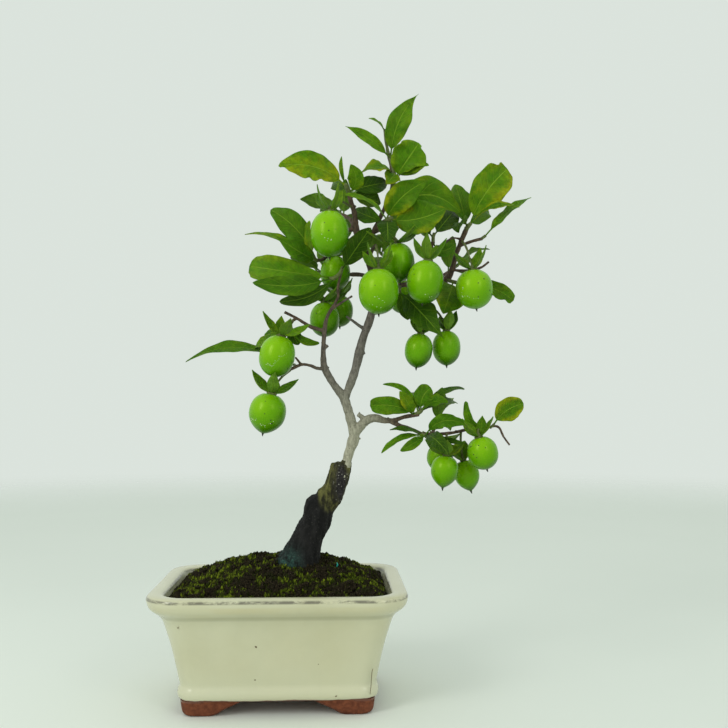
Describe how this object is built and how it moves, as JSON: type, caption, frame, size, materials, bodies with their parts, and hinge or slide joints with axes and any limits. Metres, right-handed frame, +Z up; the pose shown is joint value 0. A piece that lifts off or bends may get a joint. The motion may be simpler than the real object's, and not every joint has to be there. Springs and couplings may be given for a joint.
{
  "type": "potted fruiting bonsai tree",
  "caption": "Small persimmon tree in fruit, grown as a bonsai: a short thick old trunk, a slim leafy crown with green fruits, and a rectangular glazed pot on feet.",
  "frame": {"origin": "middle of the footprint of the whole object, at the height of the feet's undersides", "axes": "+Z up along the tree, +X to the right of the picture, +Y away from the viewer"},
  "size_m": [0.3092, 0.152, 0.5033],
  "materials": {
    "glaze": "cream glaze, worn along its edges, with bare red-brown feet",
    "screen": "moulded net",
    "soil": "dark moist granules with moss",
    "bark": "rough bark, black on the old trunk and grey above",
    "fruit_skin": "smooth and glossy",
    "calyx": "matt",
    "leaf": "satin with veins"
  },
  "bodies": {
    "root": {"pot": "glaze", "drain_screen_1": "screen", "drain_screen_2": "screen", "soil": "soil", "wood": "bark", "fruit_01": "fruit_skin", "calyx_01": "calyx", "fruit_02": "fruit_skin", "calyx_02": "calyx", "fruit_03": "fruit_skin", "calyx_03": "calyx", "fruit_04": "fruit_skin", "calyx_04": "calyx", "fruit_05": "fruit_skin", "calyx_05": "calyx", "fruit_06": "fruit_skin", "calyx_06": "calyx", "fruit_07": "fruit_skin", "calyx_07": "calyx", "fruit_08": "fruit_skin", "calyx_08": "calyx", "fruit_09": "fruit_skin", "calyx_09": "calyx", "fruit_10": "fruit_skin", "calyx_10": "calyx", "fruit_11": "fruit_skin", "calyx_11": "calyx", "fruit_12": "fruit_skin", "calyx_12": "calyx", "fruit_13": "fruit_skin", "calyx_13": "calyx", "fruit_14": "fruit_skin", "calyx_14": "calyx", "fruit_15": "fruit_skin", "calyx_15": "calyx", "fruit_16": "fruit_skin", "calyx_16": "calyx", "fruit_17": "fruit_skin", "calyx_17": "calyx", "spray_top": "leaf", "spray_front": "leaf", "spray_left_top": "leaf", "spray_left_mid": "leaf", "spray_left_low": "leaf", "spray_right_top": "leaf", "spray_right": "leaf", "spray_right_mid": "leaf", "spray_right_low": "leaf", "spray_low_centre": "leaf", "spray_branch_hub": "leaf", "spray_branch_low": "leaf", "spray_branch_tip": "leaf", "leaf_left_long": "leaf", "spray_left_cluster": "leaf", "spray_back_top": "leaf", "spray_back_left": "leaf", "spray_back_mid": "leaf", "spray_back_centre": "leaf", "spray_back_right": "leaf", "spray_branch_back": "leaf"}
  },
  "joints": []
}
